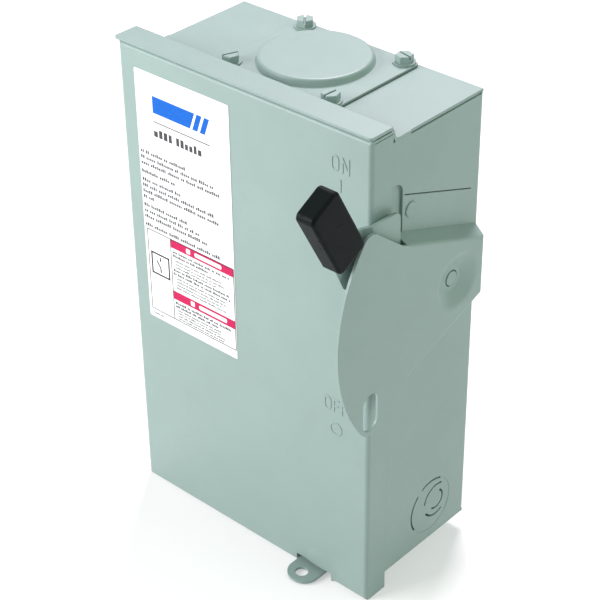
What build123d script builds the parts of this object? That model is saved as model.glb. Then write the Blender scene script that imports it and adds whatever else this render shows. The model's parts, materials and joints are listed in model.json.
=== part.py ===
from build123d import *
from math import cos, degrees, radians, sin, tan, atan2, hypot
import os

# Enclosed safety switch used as an air-conditioner disconnect, handle at ON.
# Millimetres. +X is to the right of someone facing the cover, +Y goes into the wall, +Z is up.
# Origin: the centre of the back face, where the box meets the wall.

# ---------------------------------------------------------------- enclosure
sheet = 1.5                     # steel sheet of every pressed part
box_w = 154.8                   # outside of the side walls
box_h = 256.0                   # outside of the end walls
depth = 83.0                    # wall to the cover's front face
bend_r = 3.0                    # outer radius of the back bends
front_y = -depth
wall_front = -67.8              # front edge of the right wall
lip_front = -79.5               # front edge of the lip under the cover
seam = 0.4                      # clearance between cover and lip
half_w = box_w / 2
half_h = box_h / 2
wall_in = half_w - sheet        # inner face of a side wall

# ---------------------------------------------------------------- front cover
cover_w = 162.0
cover_h = 270.2
cover_right = half_w + seam
cover_left = cover_right - cover_w
cover_low = -137.3
cover_high = cover_low + cover_h
cover_in = front_y + sheet      # inner face of the cover
right_flange = 14.9
top_flange = 12.6
bottom_flange = 12.0
left_flange = 10.4
cover_bend = 2.2

# ---------------------------------------------------------------- rain hood
hood_top = 135.6
hood_front = front_y - 1.4
hood_rear = -68.8               # end of the raised flat
ramp_end = -65.2                # where the ramp meets the end wall
hood_left = cover_left - 0.9
hood_right = cover_right + 0.6

# ---------------------------------------------------------------- handle
pivot_y = -26.5
pivot_z = 37.2
guard_out = half_w + 8.4        # outer face of the guard panel
guard_in = guard_out - sheet
lever_t = 1.6
lever_hub_x = 77.0              # inner face of the lever at its hub
lever_arm_x = 80.8              # inner face where it passes the cover's flange
lever_tip_x = 78.7              # inner face in front of the cover
fan_r = 88.4
fan_angle = 41.4                # half angle of the fan-shaped shield
roof_angle = 20.4               # slope of the pocket's roof and of its mirror image
roof_front_z = 38.4             # half height of the pocket panel at its front
pocket_front = -66.0
pocket_rear = -6.2
pocket_taper = 24.0
dish_r = 15.0
dish_floor_r = 6.4
dish_depth = 4.0
handle_swing = 72.0             # ON to OFF
slot_r = 77.7                   # padlock slot, from the pivot
slot_angle = 33.5               # below the horizontal

# ---------------------------------------------------------------- hinge
hinge_x = -80.6
hinge_y = -69.6
hinge_pin_r = 1.2
knuckle_r = 2.4
hinge_zs = (-85.0, 85.0)
hinge_len = 36.0
hinge_gap = 0.25

# ---------------------------------------------------------------- switch mechanism
base_x0, base_x1 = -34.0, 58.0
base_z0, base_z1 = -64.0, 108.0
base_t = 10.0
base_y = -sheet - base_t        # front face of the insulating base
pole_x = (-4.0, 30.0)
rotor_r = 7.0
blade_t = 2.0
blade_w = 12.0
blade_len = 46.0
blade_disc_r = 13.0
jaw_gap = 0.06
leaf_t = 1.0
fuse_r = 7.15
fuse_len = 50.8
ferrule_len = 13.0
fuse_y = base_y - 11.0
fuse_top = 18.4

os.makedirs("parts", exist_ok=True)


def save(part, label):
    """Label a finished piece and write it as its own STEP file."""
    part.label = label
    export_step(part, f"parts/{label}.step")


def span(low, high):
    """Centre and length of a stretch."""
    return (low + high) / 2, high - low


def block(x, y, z, mode=Mode.ADD):
    """Box between two limits on each axis."""
    (cx, lx), (cy, ly), (cz, lz) = span(*x), span(*y), span(*z)
    with Locations((cx, cy, cz)):
        return Box(lx, ly, lz, mode=mode)


def roof_half(y, taper_offset=0.0):
    """Half height of the handle pocket at a given depth, pushed out by an offset."""
    slope = radians(roof_angle)
    return roof_front_z - tan(slope) * (y - pocket_front) + taper_offset / cos(slope)


def pocket_outline(grow, front):
    """Four corners of the handle pocket, symmetric about the pivot's height."""
    rear = pocket_rear + grow
    front_half = roof_half(front, grow)
    rear_half = roof_half(rear, grow)
    return [
        (front, pivot_z - front_half),
        (rear, pivot_z - rear_half),
        (rear, pivot_z + rear_half),
        (front, pivot_z + front_half),
    ]


def bar(start, end, width):
    """Straight stroke of a sketch, with round ends."""
    (x0, y0), (x1, y1) = start, end
    angle = degrees(atan2(y1 - y0, x1 - x0))
    with Locations(Location(((x0 + x1) / 2, (y0 + y1) / 2), angle)):
        SlotOverall(hypot(x1 - x0, y1 - y0) + width, width)


def arc_groove(centre, radius, start, sweep, width):
    """Curved slot of a sketch, for a punched line round a knockout."""
    with BuildLine():
        arc = CenterArc(centre, radius, start, sweep)
    SlotArc(arc, width)


# ================================================================ enclosure wrap
# Back and both side walls, bent from one sheet.
wrap_h = box_h - 2 * sheet
knock_y, knock_z, knock_r = -30.3, -105.5, 16.0
knock_in_y, knock_in_z = -25.6, -104.4
wall_hole_r = 3.6
wall_hole_dx, wall_hole_dz = 90.0, 228.0
groove = 1.1
corner_y = -55.0                # in front of this the upper corners are folded over the side walls
notch_low, notch_high = pivot_z - 30, 103.7
notch_rear = -60.2
seam_line = 0.4                 # open joint between the side walls and the end wall above

with BuildPart() as enclosure_wrap:
    with BuildSketch(Plane.XY.offset(-wrap_h / 2)):
        with Locations((0, wall_front / 2)):
            Rectangle(box_w, -wall_front)
        with Locations((-half_w + sheet / 2, lip_front / 2)):
            Rectangle(sheet, -lip_front)
        with Locations((0, (lip_front - sheet) / 2)):
            Rectangle(2 * wall_in, -lip_front - sheet, mode=Mode.SUBTRACT)
        with BuildLine():
            Polyline(
                (wall_in, notch_rear + 2.0),
                (wall_in - sheet, notch_rear + 0.5),
                (wall_in - sheet, lip_front),
                (wall_in, lip_front),
                (wall_in, notch_rear + 2.0),
            )
        make_face()
    extrude(amount=wrap_h)
    back_edges = enclosure_wrap.edges().filter_by(Axis.Z).filter_by_position(Axis.Y, -0.1, 0.1)
    fillet(back_edges, bend_r)
    inner_edges = (
        enclosure_wrap.edges().filter_by(Axis.Z).filter_by_position(Axis.Y, -sheet - 0.1, -sheet + 0.1)
    )
    fillet(inner_edges, bend_r - sheet)
    # Holes for the screws into the wall.
    with Locations(Plane.XZ):
        with GridLocations(wall_hole_dx, wall_hole_dz, 2, 2):
            Hole(wall_hole_r)
    # Window under the handle guard.
    with BuildSketch(Plane.YZ.offset(wall_in - 0.5)):
        Polygon(*pocket_outline(0.4, notch_rear + 2.5), align=None)
    extrude(amount=sheet + 1, mode=Mode.SUBTRACT)
    # Notch in the front edge, where the lever comes out.
    with BuildSketch(Plane.YZ.offset(wall_in)) as notch:
        with Locations(((wall_front + notch_rear) / 2, (notch_high + notch_low) / 2)):
            Rectangle(notch_rear - wall_front, notch_high - notch_low)
        fillet(notch.vertices().group_by(Axis.X)[-1].sort_by(Axis.Y)[-1], 5.0)
    extrude(amount=sheet + 1, mode=Mode.SUBTRACT)
    # Open joints along the upper edges of the side walls.
    for side in (-1, 1):
        with Locations((side * half_w, (corner_y - bend_r) / 2, (wrap_h - seam_line) / 2)):
            Box(2.0, -corner_y - bend_r, seam_line, mode=Mode.SUBTRACT)
    # Lanced slit above the guard, parallel to its roof, and the punched lines of the knockout.
    with BuildSketch(Plane.YZ.offset(wall_in - 0.5)):
        bar((-58.6, 96.2), (-7.9, 77.7), 0.6)
        arc_groove((knock_y, knock_z), knock_r, 62, 54, groove)
        arc_groove((knock_y, knock_z), knock_r, 133, 80, groove)
        arc_groove((knock_in_y, knock_in_z), 9.8, 66, 104, groove)
        arc_groove((knock_in_y, knock_in_z), 9.8, 215, 82, groove)
        arc_groove((knock_in_y, knock_in_z), 5.5, -125, 178, groove)
    extrude(amount=sheet + 1, mode=Mode.SUBTRACT)
    # The other half of the punched lines is only scored.
    with BuildSketch(Plane.YZ.offset(half_w - 0.15)):
        arc_groove((knock_y, knock_z), knock_r, 222, 190, 0.5)
    extrude(amount=1, mode=Mode.SUBTRACT)
save(enclosure_wrap.part, "enclosure_wrap")

# ================================================================ top end wall and rain hood
hub_x, hub_y = 1.4, -32.6       # centre of the hub opening
hub_dx, hub_dy = 63.7, 53.6     # its four screws
hub_hole_r = 24.0
screw_r = 2.8
top_inset = 0.5                 # the end wall stops short of the side wall's outer face
ramp_bend = 1.6

with BuildPart() as top_end_wall:
    block((-half_w + top_inset, half_w - top_inset), (ramp_end, -0.8), (half_h - sheet, half_h))
    # Front strip, as wide as the side walls, then the ramp and the raised flat of the hood.
    with BuildSketch(Plane.YZ.offset(-half_w)):
        with BuildLine():
            Polyline(
                (corner_y, half_h),
                (corner_y, half_h - sheet),
                (ramp_end - 1.0, half_h - sheet),
                (hood_rear - 1.0, hood_top - sheet),
                (hood_front, hood_top - sheet),
                (hood_front, hood_top),
                (hood_rear, hood_top),
                (ramp_end, half_h),
                (corner_y, half_h),
            )
        make_face()
    extrude(amount=box_w)
    for bend_y in (hood_rear, ramp_end):
        bend = top_end_wall.edges().filter_by(Axis.X).filter_by_position(Axis.Y, bend_y - 0.1, bend_y + 0.1)
        fillet(bend, ramp_bend)
    # The raised flat reaches past both side walls, over the cover.
    block((hood_left, hood_right), (hood_front, hood_rear - 0.6), (hood_top - sheet, hood_top))
    # Room for the cover's side flange beside the ramp.
    block(
        (cover_right - sheet - 0.6, half_w + 1),
        (-72, wall_front),
        (half_h - 3, hood_top - sheet),
        mode=Mode.SUBTRACT,
    )
    lip_edge = (
        top_end_wall.edges()
        .filter_by(Axis.X)
        .filter_by_position(Axis.Y, hood_front - 0.1, hood_front + 0.1)
        .sort_by(Axis.Z)[0]
    )
    chamfer(lip_edge, 0.4)
    front_corners = (
        top_end_wall.edges().filter_by(Axis.Z).filter_by_position(Axis.Y, hood_front - 0.1, hood_front + 0.1)
    )
    fillet(front_corners, 1.5)
    with Locations((hub_x, hub_y, half_h)):
        Hole(hub_hole_r)
        with GridLocations(hub_dx, hub_dy, 2, 2):
            Hole(screw_r)
save(top_end_wall.part, "top_end_wall")

# ================================================================ bottom end wall and hasp tab
hasp_x = 39.4
hasp_w = 18.0
hasp_tip = front_y - 14.2
hasp_top = -134.8
hasp_hole_r = 3.5
hasp_hole_y = front_y - 7.0

with BuildPart() as bottom_end_wall:
    block((-half_w + top_inset, half_w - top_inset), (wall_front, -0.8), (-half_h, -half_h + sheet))
    block((-wall_in, wall_in - sheet), (lip_front, wall_front), (-half_h, -half_h + sheet))
save(bottom_end_wall.part, "bottom_end_wall")

with BuildPart() as hasp_tab:
    with BuildSketch(Plane.YZ.offset(hasp_x - hasp_w / 2)):
        with BuildLine():
            Polyline(
                (-50.0, -half_h),
                (-50.0, -half_h - sheet),
                (-69.0, -half_h - sheet),
                (-75.0, hasp_top - sheet),
                (hasp_tip, hasp_top - sheet),
                (hasp_tip, hasp_top),
                (-74.2, hasp_top),
                (-68.2, -half_h),
                (-50.0, -half_h),
            )
        make_face()
    extrude(amount=hasp_w)
    tip_corners = hasp_tab.edges().filter_by(Axis.Z).group_by(Axis.Y)[0]
    fillet(tip_corners, hasp_w / 2 - 0.3)
    with Locations((hasp_x - 0.4, hasp_hole_y, hasp_top)):
        Hole(hasp_hole_r)
save(hasp_tab.part, "hasp_tab")

# ================================================================ hub closure plate
plate_w, plate_d = 76.0, 62.0
dome_r, dome_h, dome_taper = 29.1, 3.5, 20
dome_x, dome_y = hub_x - 2.0, hub_y + 1.0
plate_top = half_h + sheet

with BuildPart() as hub_plate:
    with BuildSketch(Plane.XY.offset(half_h)):
        with Locations((hub_x, hub_y)):
            RectangleRounded(plate_w, plate_d, 2.0)
    extrude(amount=sheet)
    with BuildSketch(Plane.XY.offset(plate_top)):
        with Locations((dome_x, dome_y)):
            Circle(dome_r)
    extrude(amount=dome_h, taper=dome_taper)
    fillet(hub_plate.edges().filter_by(GeomType.CIRCLE).group_by(Axis.Z)[-1], 1.6)
    foot_edge = hub_plate.edges().filter_by(GeomType.CIRCLE).filter_by(
        lambda e: abs(e.center().Z - plate_top) < 0.1 and e.radius > 20
    )
    fillet(foot_edge, 0.4)
    with BuildSketch(Plane.XY.offset(half_h)):
        with Locations((dome_x, dome_y)):
            Circle(dome_r - 1.2)
    extrude(amount=dome_h, taper=dome_taper, mode=Mode.SUBTRACT)
    with Locations((hub_x, hub_y, plate_top)):
        with GridLocations(hub_dx, hub_dy, 2, 2):
            Hole(screw_r + 0.2)
    # Its rim stands clear of the wall.
    with BuildSketch(Plane.XY.offset(half_h)):
        with Locations((hub_x, hub_y)):
            Rectangle(plate_w + 2, plate_d + 2)
            RectangleRounded(plate_w - 4, plate_d - 4, 2.0, mode=Mode.SUBTRACT)
    extrude(amount=0.5, mode=Mode.SUBTRACT)
save(hub_plate.part, "hub_plate")

# Four hex washer-head screws, each turned as its own last turn left it.
washer_r = 5.7
washer_t = 0.9
hex_flats = 7.94
head_h = 3.6
slot_w, slot_d = 1.2, 1.6
# Turn of the slot and of the hexagon, in degrees, by the screw's side and row.
screw_turns = {
    (-1, -1): (68.0, 72.0),
    (1, -1): (86.0, 107.0),
    (-1, 1): (130.0, 132.0),
    (1, 1): (-11.0, -18.0),
}

with BuildPart() as hub_screws:
    for (side, row), (slot_turn, hex_turn) in screw_turns.items():
        spot = (hub_x + side * hub_dx / 2, hub_y + row * hub_dy / 2)
        with BuildSketch(Plane.XY.offset(plate_top)):
            with Locations(spot):
                Circle(washer_r)
        extrude(amount=washer_t)
        with BuildSketch(Plane.XY.offset(plate_top + washer_t)):
            with Locations(Location(spot, hex_turn)):
                RegularPolygon(hex_flats / 2, 6, major_radius=False)
        extrude(amount=head_h)
        with BuildSketch(Plane.XY.offset(plate_top + washer_t + head_h)):
            with Locations(Location(spot, slot_turn)):
                Rectangle(2 * hex_flats, slot_w)
        extrude(amount=-slot_d, mode=Mode.SUBTRACT)
        with BuildSketch(Plane.XY.offset(plate_top)):
            with Locations(spot):
                Circle(screw_r - 0.1)
        extrude(amount=-9.0)
    head_faces = hub_screws.faces().filter_by(Axis.Z).group_by(Axis.Z)[-1]
    chamfer(head_faces.edges().filter_by(lambda e: 0.5 < e.length < 6), 0.35)
save(hub_screws.part, "hub_screws")

# ================================================================ handle guard
# Pocket pushed out of the right wall, a fan-shaped shield in front of it and a dish at the pivot.
taper_run = (guard_out - half_w) * tan(radians(pocket_taper))
stud_r = 3.9                    # end of the pivot pin, in the dish

with BuildPart() as handle_guard:
    with BuildSketch(Plane.YZ.offset(half_w)):
        Polygon(*pocket_outline(taper_run, pocket_front - 8), align=None)
    extrude(amount=guard_out - half_w, taper=pocket_taper)
    long_edges = handle_guard.edges().group_by(Axis.X)[-1]
    fillet(long_edges, 2.2)
    with BuildSketch(Plane.YZ.offset(half_w)):
        Polygon(*pocket_outline(taper_run - 1.65, pocket_front - 16), align=None)
    extrude(amount=guard_in - half_w, taper=pocket_taper, mode=Mode.SUBTRACT)
    block((half_w - 1, guard_in), (-120, pocket_front), (-60, 120), mode=Mode.SUBTRACT)
    block((guard_in - 1, guard_out + 1), (-120, pocket_front), (-60, 120), mode=Mode.SUBTRACT)
    # Fan.
    with BuildSketch(Plane.YZ.offset(guard_in)) as fan:
        corner = (
            pivot_y - fan_r * cos(radians(fan_angle)),
            fan_r * sin(radians(fan_angle)),
        )
        shoulder = (-69.5, roof_half(-69.5) + 0.3)
        with BuildLine():
            Polyline(
                (corner[0], pivot_z + corner[1]),
                (shoulder[0], pivot_z + shoulder[1]),
                (pocket_front + 2, pivot_z + roof_half(pocket_front + 2)),
                (pocket_front + 2, pivot_z - roof_half(pocket_front + 2)),
                (shoulder[0], pivot_z - shoulder[1]),
                (corner[0], pivot_z - corner[1]),
            )
            ThreePointArc(
                (corner[0], pivot_z - corner[1]),
                (pivot_y - fan_r, pivot_z),
                (corner[0], pivot_z + corner[1]),
            )
        make_face()
        fan_corners = fan.vertices().filter_by_position(Axis.X, corner[0] - 0.1, corner[0] + 0.1)
        fillet(fan_corners, 6.5)
    extrude(amount=sheet)
    # Padlock slot.
    slot_y = pivot_y - slot_r * cos(radians(slot_angle))
    slot_z = pivot_z - slot_r * sin(radians(slot_angle))
    with BuildSketch(Plane.YZ.offset(guard_in - 1)):
        with Locations(Location((slot_y, slot_z), 90)):
            SlotOverall(21.4, 11.2)
    extrude(amount=sheet + 2, mode=Mode.SUBTRACT)
    # Dish at the pivot: a cone behind the panel, hollowed from the front.
    for back, mode in ((sheet, Mode.ADD), (0.0, Mode.SUBTRACT)):
        with Locations(Plane((guard_out - dish_depth - back, pivot_y, pivot_z), z_dir=(1, 0, 0))):
            Cone(
                dish_floor_r,
                dish_r,
                dish_depth,
                align=(Align.CENTER, Align.CENTER, Align.MIN),
                mode=mode,
            )
    rim = handle_guard.edges().filter_by(GeomType.CIRCLE).filter_by(
        lambda e: abs(e.center().X - guard_out) < 0.01 and abs(e.radius - dish_r) < 0.1
    )
    fillet(rim, 6.0)
    dish_foot = handle_guard.edges().filter_by(GeomType.CIRCLE).filter_by(
        lambda e: abs(e.center().X - guard_out + dish_depth) < 0.01 and abs(e.radius - dish_floor_r) < 0.1
    )
    fillet(dish_foot, 3.0)
    with BuildSketch(Plane.YZ.offset(guard_out)):
        with Locations((pivot_y, pivot_z)):
            Circle(stud_r + 0.5)
    extrude(amount=-12, mode=Mode.SUBTRACT)
save(handle_guard.part, "handle_guard")

# Dimple of the rivet that ties the band above the guard to the bracket inside.
with BuildPart() as guard_rivet:
    with BuildSketch(Plane.YZ.offset(half_w)):
        with Locations((-54.0, 86.6)):
            Circle(4.0)
    extrude(amount=0.7)
    fillet(guard_rivet.faces().sort_by(Axis.X)[-1].edges(), 0.5)
save(guard_rivet.part, "guard_rivet")

# ================================================================ handle
pin_r = 3.0
dish_floor = guard_out - dish_depth

with BuildPart() as pivot_pin:
    with BuildSketch(Plane.YZ.offset(dish_floor - sheet)):
        with Locations((pivot_y, pivot_z)):
            Circle(stud_r)
    extrude(amount=sheet + 0.4)
    fillet(pivot_pin.faces().sort_by(Axis.X)[-1].edges(), 0.3)
    with BuildSketch(Plane.YZ.offset(dish_floor)):
        with Locations((pivot_y, pivot_z)):
            Circle(pin_r)
    extrude(amount=-14.0)
save(pivot_pin.part, "pivot_pin")

washer_x = lever_hub_x + lever_t + 0.15
with BuildPart() as pivot_washer:
    with BuildSketch(Plane.YZ.offset(washer_x)):
        with Locations((pivot_y, pivot_z)):
            Circle(7.5)
            Circle(pin_r + 0.3, mode=Mode.SUBTRACT)
    extrude(amount=dish_floor - sheet - washer_x)
save(pivot_washer.part, "pivot_washer")

# Lever: its outline seen from the side, kept only where the bent sheet is.
hub_r = 12.0
jog_a0, jog_a1 = -49.0, -44.0   # from the hub's level out to the arm's
jog_b0, jog_b1 = -91.5, -86.5   # from the arm's level in to the tip's
lock_angle = handle_swing - slot_angle

with BuildPart() as handle_lever:
    with BuildSketch(Plane.XY.offset(-20)):
        with BuildLine():
            Polyline(
                (lever_hub_x, -8),
                (lever_hub_x, jog_a1),
                (lever_arm_x, jog_a0),
                (lever_arm_x, jog_b1),
                (lever_tip_x, jog_b0),
                (lever_tip_x, -135),
                (lever_tip_x + lever_t, -135),
                (lever_tip_x + lever_t, jog_b0 - 0.6),
                (lever_arm_x + lever_t, jog_b1 - 0.6),
                (lever_arm_x + lever_t, jog_a0 - 0.8),
                (lever_hub_x + lever_t, jog_a1 - 0.8),
                (lever_hub_x + lever_t, -8),
                (lever_hub_x, -8),
            )
        make_face()
    extrude(amount=160)
    with BuildSketch(Plane.YZ.offset(lever_hub_x - 5)) as lever_outline:
        with BuildLine():
            Polyline(
                (-28.0, pivot_z + 11.5),
                (-60.5, pivot_z + 30.2),
                (-67.2, pivot_z + 35.4),
                (-67.6, pivot_z + 56.2),
                (-96.5, pivot_z + 57.2),
                (-117.0, pivot_z + 85.0),
                (-128.0, pivot_z + 79.5),
                (-104.2, pivot_z + 30.4),
                (-76.0, pivot_z + 29.5),
                (-30.0, pivot_z - 11.0),
                (-28.0, pivot_z + 11.5),
            )
        make_face()
        fillet(lever_outline.vertices().filter_by_position(Axis.X, -105, -103), 3.0)
        fillet(lever_outline.vertices().filter_by_position(Axis.X, -67.7, -67.5), 3.6)
        with Locations((pivot_y, pivot_z)):
            Circle(hub_r)
    extrude(amount=20, mode=Mode.INTERSECT)
    with BuildSketch(Plane.YZ.offset(lever_hub_x - 5)):
        with Locations((pivot_y, pivot_z)):
            Circle(pin_r + 0.05)
        with Locations((
            pivot_y - slot_r * cos(radians(lock_angle)),
            pivot_z + slot_r * sin(radians(lock_angle)),
        )):
            Circle(3.9)
    extrude(amount=20, mode=Mode.SUBTRACT)
save(handle_lever.part, "handle_lever")

# Moulded grip over the lever's tip.
grip_x0, grip_t = cover_right + 0.6, 10.2
grip_y, grip_z = -117.0, 106.2
grip_len, grip_w, grip_angle = 40.8, 19.6, 118.5

grip_plane = Plane(
    origin=(grip_x0, grip_y, grip_z),
    x_dir=(0, cos(radians(grip_angle)), sin(radians(grip_angle))),
    z_dir=(1, 0, 0),
)

with BuildPart() as handle_grip:
    with BuildSketch(grip_plane):
        RectangleRounded(grip_len, grip_w, 3.2)
    extrude(amount=grip_t)
    fillet(handle_grip.faces().sort_by(Axis.X)[-1].edges(), 1.6)
    fillet(handle_grip.faces().sort_by(Axis.X)[0].edges(), 0.8)
    add(handle_lever.part, mode=Mode.SUBTRACT)
save(handle_grip.part, "handle_grip")

# ================================================================ drive shaft and rotor
collar_r = 9.0
shaft_r = 6.0
rotor_x0, rotor_x1 = -31.0, 60.0
square = 7.0

with BuildPart() as drive_shaft:
    with BuildSketch(Plane.YZ.offset(lever_hub_x)):
        with Locations((pivot_y, pivot_z)):
            Circle(collar_r)
    extrude(amount=-1.8)
    with BuildSketch(Plane.YZ.offset(lever_hub_x - 1.8)):
        with Locations((pivot_y, pivot_z)):
            Circle(shaft_r)
    extrude(amount=-(lever_hub_x - 1.8 - rotor_x1 - 0.3))
    with BuildSketch(Plane.YZ.offset(rotor_x1 + 0.3)):
        with Locations((pivot_y, pivot_z)):
            Rectangle(square, square)
    extrude(amount=-8.3)
    with BuildSketch(Plane.YZ.offset(lever_hub_x)):
        with Locations((pivot_y, pivot_z)):
            Circle(pin_r + 0.05)
    extrude(amount=-11.5, mode=Mode.SUBTRACT)
save(drive_shaft.part, "drive_shaft")

spring_wire = 0.8
spring_r = 7.4
spring_pitch = 2.2
spring_turns = 4

with BuildPart() as toggle_spring:
    with BuildLine() as coil:
        Helix(
            spring_pitch,
            spring_pitch * spring_turns,
            spring_r,
            center=(63.0, pivot_y, pivot_z),
            direction=(1, 0, 0),
        )
    with BuildSketch(Plane(coil.line @ 0, z_dir=coil.line % 0)):
        Circle(spring_wire)
    sweep(is_frenet=True)
save(toggle_spring.part, "toggle_spring")


def blade_profile():
    """Knife blade seen from the side: a contact disc round the axis and the blade above it."""
    with Locations((pivot_y, pivot_z)):
        Circle(blade_disc_r)
    with Locations((pivot_y, pivot_z + blade_len / 2)):
        Rectangle(blade_w, blade_len)


with BuildPart() as rotor_bar:
    with BuildSketch(Plane.YZ.offset(rotor_x0)):
        with Locations((pivot_y, pivot_z)):
            Circle(rotor_r)
    extrude(amount=rotor_x1 - rotor_x0)
    for x in pole_x:
        with BuildSketch(Plane.YZ.offset(x - blade_t / 2)):
            with Locations((pivot_y, pivot_z)):
                Circle(rotor_r + 0.5)
                Rectangle(square, square, mode=Mode.SUBTRACT)
        extrude(amount=blade_t, mode=Mode.SUBTRACT)
    with BuildSketch(Plane.YZ.offset(rotor_x1)):
        with Locations((pivot_y, pivot_z)):
            Rectangle(square + 0.1, square + 0.1)
    extrude(amount=-8.5, mode=Mode.SUBTRACT)
save(rotor_bar.part, "rotor_bar")

with BuildPart() as knife_blades:
    for x in pole_x:
        with BuildSketch(Plane.YZ.offset(x - blade_t / 2)):
            blade_profile()
            with Locations((pivot_y, pivot_z)):
                Rectangle(square, square, mode=Mode.SUBTRACT)
        extrude(amount=blade_t)
save(knife_blades.part, "knife_blades")

# ================================================================ insulating base and bearings
bearing_x = (-28.0, 50.0)
bearing_t = 6.0
base_screw_x = (-27.0, 51.0)
base_screw_z = (-56.0, 100.0)

with BuildPart() as switch_base:
    block((base_x0, base_x1), (base_y, -sheet), (base_z0, base_z1))
    fillet(switch_base.edges().filter_by(Axis.Y), 3.0)
    for x in base_screw_x:
        for z in base_screw_z:
            with Locations(Plane((x, base_y, z), z_dir=(0, -1, 0))):
                CounterBoreHole(2.3, 4.6, 4.0)
save(switch_base.part, "switch_base")

with BuildPart() as base_screws:
    for x in base_screw_x:
        for z in base_screw_z:
            with BuildSketch(Plane((x, base_y + 4.0, z), z_dir=(0, -1, 0))):
                Circle(4.2)
            extrude(amount=2.6)
            with BuildSketch(Plane((x, base_y + 4.0, z), z_dir=(0, -1, 0))):
                Circle(2.2)
            extrude(amount=-(base_t - 4.0))
            with BuildSketch(Plane((x, base_y + 1.4, z), z_dir=(0, -1, 0))):
                Rectangle(6.5, 1.1)
                Rectangle(1.1, 6.5)
            extrude(amount=-1.3, mode=Mode.SUBTRACT)
save(base_screws.part, "base_screws")

with BuildPart() as rotor_bearings:
    for x in bearing_x:
        with BuildSketch(Plane.YZ.offset(x - bearing_t / 2)) as post:
            with Locations(((pivot_y - 10.5 + base_y) / 2, pivot_z)):
                Rectangle(base_y - pivot_y + 10.5, 22)
            fillet(post.vertices().group_by(Axis.X)[0], 8)
            with Locations((pivot_y, pivot_z)):
                Circle(rotor_r + 0.05, mode=Mode.SUBTRACT)
        extrude(amount=bearing_t)
save(rotor_bearings.part, "rotor_bearings")


# ================================================================ contacts and terminals
def leaf_pair(x, y, z, gap):
    """Two spring leaves standing either side of a blade."""
    for side in (-1, 1):
        inner = x + side * gap
        outer = x + side * (gap + leaf_t)
        block((min(inner, outer), max(inner, outer)), y, z)


def lug(x, z):
    """Terminal block with a wire hole running up and down and a screw from the front."""
    block((x - 7, x + 7), (base_y - 17, base_y - 1.6), (z - 8, z + 8))
    with Locations((x, base_y - 8.6, z)):
        Cylinder(4.2, 18, mode=Mode.SUBTRACT)
    with Locations(Plane((x, base_y - 17, z), z_dir=(0, -1, 0))):
        Hole(3.0, depth=5)


def slotted_screw(x, y, z, shank_r, head_r, head, length):
    """Slotted round-head screw pointing at the wall, with its head's front face at y."""
    for radius, reach in ((shank_r, length), (head_r, head)):
        with BuildSketch(Plane((x, y, z), z_dir=(0, 1, 0))) as disc:
            Circle(radius)
        extrude(disc.sketch, amount=reach)
    block((x - head_r, x + head_r), (y - 1, y + head / 2), (z - 0.5, z + 0.5), mode=Mode.SUBTRACT)


blade_gap = blade_t / 2 + jaw_gap
line_lug_z = 95.0
load_lug_z = -49.0
lug_screw_len = 5.6             # stops short of the wire hole
clip_h = 11.0
clip_top_z = fuse_top - 1.0 - clip_h / 2
clip_low_z = fuse_top - fuse_len + 1.0 + clip_h / 2

with BuildPart() as line_jaws:
    for x in pole_x:
        block((x - 6, x + 6), (base_y - 1.6, base_y), (66, 104))
        leaf_pair(x, (pivot_y - 7.5, base_y - 1.6), (68, 82), blade_gap)
save(line_jaws.part, "line_jaws")

with BuildPart() as line_lugs:
    for x in pole_x:
        lug(x, line_lug_z)
save(line_lugs.part, "line_lugs")

with BuildPart() as line_lug_screws:
    for x in pole_x:
        slotted_screw(x, base_y - 18.6, line_lug_z, 2.95, 4.4, 1.6, lug_screw_len)
save(line_lug_screws.part, "line_lug_screws")


def fuse_clip(x, z):
    """Spring clip round a fuse's end cap, open to the front."""
    with BuildSketch(Plane.XY.offset(z - clip_h / 2)) as clip:
        with Locations((x, (fuse_y + base_y) / 2)):
            Rectangle(7.0, base_y - fuse_y)
        with Locations((x, fuse_y)):
            Circle(fuse_r + 1.1)
            Circle(fuse_r + 0.05, mode=Mode.SUBTRACT)
        with Locations((x, fuse_y - fuse_r)):
            Rectangle(9.0, 9.0, mode=Mode.SUBTRACT)
    extrude(clip.sketch, amount=clip_h)


with BuildPart() as upper_fuse_clips:
    for x in pole_x:
        fuse_clip(x, clip_top_z)
        block((x - 6, x + 6), (base_y - 1.6, base_y), (clip_top_z - clip_h / 2, 30))
        leaf_pair(x, (pivot_y - 6, base_y - 1.6), (pivot_z - 15.5, pivot_z - 7.6), blade_gap)
save(upper_fuse_clips.part, "upper_fuse_clips")

with BuildPart() as lower_fuse_clips:
    for x in pole_x:
        fuse_clip(x, clip_low_z)
        block((x - 6, x + 6), (base_y - 1.6, base_y), (load_lug_z - 9, clip_low_z + clip_h / 2))
save(lower_fuse_clips.part, "lower_fuse_clips")

with BuildPart() as load_lugs:
    for x in pole_x:
        lug(x, load_lug_z)
save(load_lugs.part, "load_lugs")

with BuildPart() as load_lug_screws:
    for x in pole_x:
        slotted_screw(x, base_y - 18.6, load_lug_z, 2.95, 4.4, 1.6, lug_screw_len)
save(load_lug_screws.part, "load_lug_screws")

with BuildPart() as fuse_barrels:
    for x in pole_x:
        with BuildSketch(Plane.XY.offset(fuse_top - ferrule_len)):
            with Locations((x, fuse_y)):
                Circle(fuse_r - 0.6)
        extrude(amount=-(fuse_len - 2 * ferrule_len))
save(fuse_barrels.part, "fuse_barrels")

with BuildPart() as fuse_ferrules:
    for x in pole_x:
        for top in (fuse_top, fuse_top - fuse_len + ferrule_len):
            with BuildSketch(Plane.XY.offset(top)):
                with Locations((x, fuse_y)):
                    Circle(fuse_r)
            extrude(amount=-ferrule_len)
    chamfer(fuse_ferrules.edges().filter_by(GeomType.CIRCLE), 0.4)
save(fuse_ferrules.part, "fuse_ferrules")

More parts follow.
